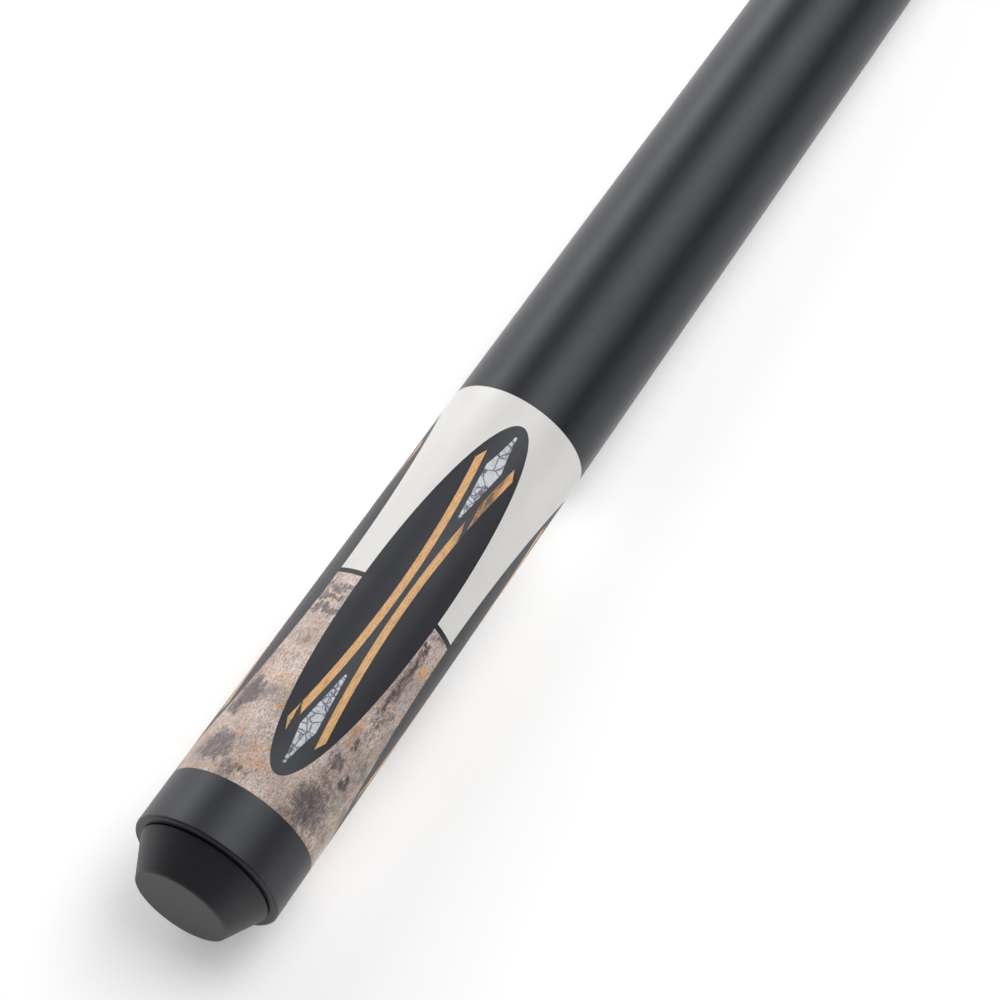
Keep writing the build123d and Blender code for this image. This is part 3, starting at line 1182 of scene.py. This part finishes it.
@dataclass
class Joint:
    """Collars, steel pin and brass insert between the two halves."""

    pitch: float = 2.54 * MM
    thread_depth: float = 0.95 * MM
    pilot_length: float = 3.0 * MM
    pilot_radius: float = 4.0 * MM
    chamfer: float = 0.6 * MM
    plain_length: float = 2.0 * MM
    segments: int = 72

    def build(self) -> None:
        """Dress the collars and insert, and cut the pin's thread."""
        collar = replace(PHENOLIC, name="collar_phenolic").material()
        dress(["joint_collar", "shaft_collar"], collar)
        dress(["shaft_insert"], replace(BRASS, name="insert_brass").material())
        self.cut_pin(Metal("pin_steel", srgb(188, 188, 190), srgb(150, 150, 152)).material())

    def cut_pin(self, material: bpy.types.Material) -> None:
        """Replace the plain pin with a threaded one.

        Args:
            material: The pin's finish.
        """
        low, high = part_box("joint_pin")
        crest = high.z
        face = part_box("joint_collar")[1].x
        pilot = high.x - self.pilot_length
        thread = Thread(face + self.plain_length, pilot, self.pitch, crest, self.thread_depth)

        def radius(x: float, turn: float) -> float:
            """Buried shank, thread, pilot and end chamfer.

            Args:
                x: Place along the cue.
                turn: Share of a turn round it.

            Returns:
                The radius there.
            """
            if x > pilot:
                return min(self.pilot_radius, self.pilot_radius - self.chamfer + (high.x - x))
            return min(thread.radius(x, turn), self.pilot_radius + (pilot - x))

        stations = spread(low.x, face, 2 * MM)[:-1] + spread(face, pilot, self.pitch / 18)
        stations += spread(pilot, high.x, 0.3 * MM)[1:]
        piece = turned_mesh("threaded_pin", stations, radius, self.segments)
        piece.data.materials.append(material)
        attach(piece, "butt")
        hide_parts("joint_pin")
        LOG.info("threaded_pin: %d faces", len(piece.data.polygons))


@dataclass
class Shaft:
    """Maple shaft with its ferrule, pad and leather tip."""

    side_share: float = 0.7

    def build(self) -> None:
        """Dress the shaft's nodes."""
        low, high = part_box("leather_tip")
        crown_start = (low.x + (high.x - low.x) * self.side_share) / MM
        dress(["shaft"], Maple().material())
        ivory = Plastic("ivory_ferrule", srgb(238, 233, 220), srgb(228, 221, 205), 0.3)
        fibre = Plastic("black_fibre", srgb(42, 40, 40), srgb(34, 33, 33), 0.55)
        dress(["ferrule"], ivory.material())
        dress(["tip_pad"], fibre.material())
        dress(["leather_tip"], LayeredLeather(crown_start).material())


# --------------------------------------------------------------------------- studio


@dataclass(frozen=True)
class SoftPanel:
    """A long soft panel that runs beside the cue.

    Attributes:
        name: Name of the light.
        turn: Angle about the cue from straight up, in degrees, positive to the cue's right.
        width: Width of the panel across the cue, in metres.
        glow: Brightness of its surface, in watts a square metre and steradian.
        distance: Distance from the aim point, in metres.
        length: Length along the cue, in metres.
        lean: How far its direction leans towards the tip.
    """

    name: str
    turn: float
    width: float
    glow: float
    distance: float = 1.2
    length: float = 1.4
    lean: float = 0.46

    def place(self, aim: Vector) -> None:
        """Add the light to the scene.

        Args:
            aim: The point that it faces.
        """
        data = bpy.data.lights.new(self.name, "AREA")
        data.shape = "RECTANGLE"
        data.size, data.size_y = self.length, self.width
        data.energy = self.glow * math.pi * self.length * self.width
        lamp = bpy.data.objects.new(self.name, data)
        flat = math.sqrt(1 - self.lean**2)
        turn = math.radians(self.turn)
        away = Vector((self.lean, -flat * math.sin(turn), flat * math.cos(turn)))
        along = (Vector((1, 0, 0)) - away * away.x).normalized()
        lamp.location = aim + away * self.distance
        lamp.rotation_mode = "QUATERNION"
        facing = Matrix((along, away.cross(along), away)).transposed()
        lamp.rotation_quaternion = facing.to_quaternion()
        bpy.context.scene.collection.objects.link(lamp)
        LOG.info("light %s", self.name)


@dataclass
class Studio:
    """Pale floor, soft lights and the camera."""

    floor_size: float = 30.0
    floor_colour: Colour = (0.9, 0.9, 0.9)
    floor_glow: float = 0.32
    distant_glow: float = 0.84
    floor_drop: float = 0.05 * MM
    world_light: float = 0.07
    horizon_light: float = 0.72
    horizon_height: float = 0.28
    sky: Colour = (0.96, 0.98, 1.0)
    camera_at: tuple[float, float, float] = (-0.23664, -0.21182, 0.63107)
    camera_aim: tuple[float, float, float] = (0.10759, -0.00469, 0.0)
    lens: float = 135.5
    panels: tuple[SoftPanel, ...] = (
        SoftPanel("side_low", -80, 0.34, 1.2),
        SoftPanel("side_main", -62, 0.34, 4.1),
        SoftPanel("side_high", -44, 0.34, 1.45),
        SoftPanel("top_left", -5, 0.34, 1.5),
        SoftPanel("top_main", 12, 0.34, 3.1),
        SoftPanel("top_right", 28, 0.34, 2.6),
        SoftPanel("top_edge", 45, 0.34, 1.4),
    )

    def build(self) -> None:
        """Add the floor, world, lights and camera."""
        self.lay_floor()
        self.set_world()
        aim = Vector(self.camera_aim)
        for panel in self.panels:
            panel.place(aim)
        self.set_camera()
        view = bpy.context.scene.view_settings
        view.view_transform = "Standard"
        view.look = "None"

    def lay_floor(self) -> None:
        """Lay a plain floor that touches the cue at its cap and at its tip."""
        cap_low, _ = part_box("butt_cap")
        _, tip_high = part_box("leather_tip")
        tip_low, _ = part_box("ferrule")
        rise = (tip_low.z - cap_low.z) / (tip_high.x - cap_low.x)
        half = self.floor_size / 2
        corners = [(x, y) for x, y in ((-half, -half), (half, -half), (half, half), (-half, half))]
        level = cap_low.z - self.floor_drop
        mesh = bpy.data.meshes.new("floor")
        points = [(x, y, level + rise * (x - cap_low.x)) for x, y in corners]
        mesh.from_pydata(points, [], [(0, 1, 2, 3)])
        floor = bpy.data.objects.new("floor", mesh)
        bpy.context.scene.collection.objects.link(floor)
        graph = Graph("pale_floor")
        grain = graph.noise(0.4, 0.4, detail=2)
        lengthwise = (graph.along - 150.0).size().rise(550.0, 1300.0)
        away = graph.across.size().rise(350.0, 1200.0).most(lengthwise)
        near, distant = (self.floor_glow,) * 3, (self.distant_glow,) * 3
        floor.data.materials.append(
            graph.surface(
                Base_Color=self.floor_colour,
                Roughness=0.7 + (grain - 0.5) * 0.05,
                Emission_Color=graph.mix(away, near, distant),
                Emission_Strength=1.0,
            )
        )
        floor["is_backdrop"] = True

    def set_world(self) -> None:
        """Soft even light from all round, paler towards the horizon."""
        world = bpy.data.worlds.new("studio")
        world.use_nodes = True
        tree = world.node_tree
        tree.nodes.clear()
        place = tree.nodes.new("ShaderNodeTexCoord")
        split = tree.nodes.new("ShaderNodeSeparateXYZ")
        step = tree.nodes.new("ShaderNodeMapRange")
        step.interpolation_type = "SMOOTHSTEP"
        step.inputs["From Min"].default_value = 0.0
        step.inputs["From Max"].default_value = self.horizon_height
        step.inputs["To Min"].default_value = self.horizon_light
        step.inputs["To Max"].default_value = self.world_light
        back = tree.nodes.new("ShaderNodeBackground")
        back.inputs["Color"].default_value = (*self.sky, 1.0)
        end = tree.nodes.new("ShaderNodeOutputWorld")
        tree.links.new(place.outputs["Generated"], split.inputs[0])
        tree.links.new(split.outputs["Z"], step.inputs["Value"])
        tree.links.new(step.outputs[0], back.inputs["Strength"])
        tree.links.new(back.outputs[0], end.inputs[0])
        bpy.context.scene.world = world

    def set_camera(self) -> None:
        """Look down on the butt of the cue with a long lens."""
        data = bpy.data.cameras.new("camera")
        data.lens = self.lens
        data.sensor_width = 36.0
        data.clip_start, data.clip_end = 0.01, 100.0
        camera = bpy.data.objects.new("camera", data)
        camera.location = Vector(self.camera_at)
        camera.rotation_mode = "QUATERNION"
        line = Vector(self.camera_aim) - camera.location
        camera.rotation_quaternion = line.to_track_quat("-Z", "Y")
        bpy.context.scene.collection.objects.link(camera)
        bpy.context.scene.camera = camera


def corners() -> list[list[float]]:
    """Lowest and highest corner of the shown object, as plain lists."""
    return [list(corner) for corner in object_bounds()]


def main() -> None:
    """Build the cue's looks piece by piece, then the studio."""
    logging.basicConfig(level=logging.INFO, format="%(message)s")
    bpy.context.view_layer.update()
    for part in (ButtEnd(), InlaidSleeve(), Handle(), Joint(), Shaft()):
        LOG.info("-- %s", type(part).__name__)
        part.build()
    Studio().build()


if __name__ == "__main__":
    main()
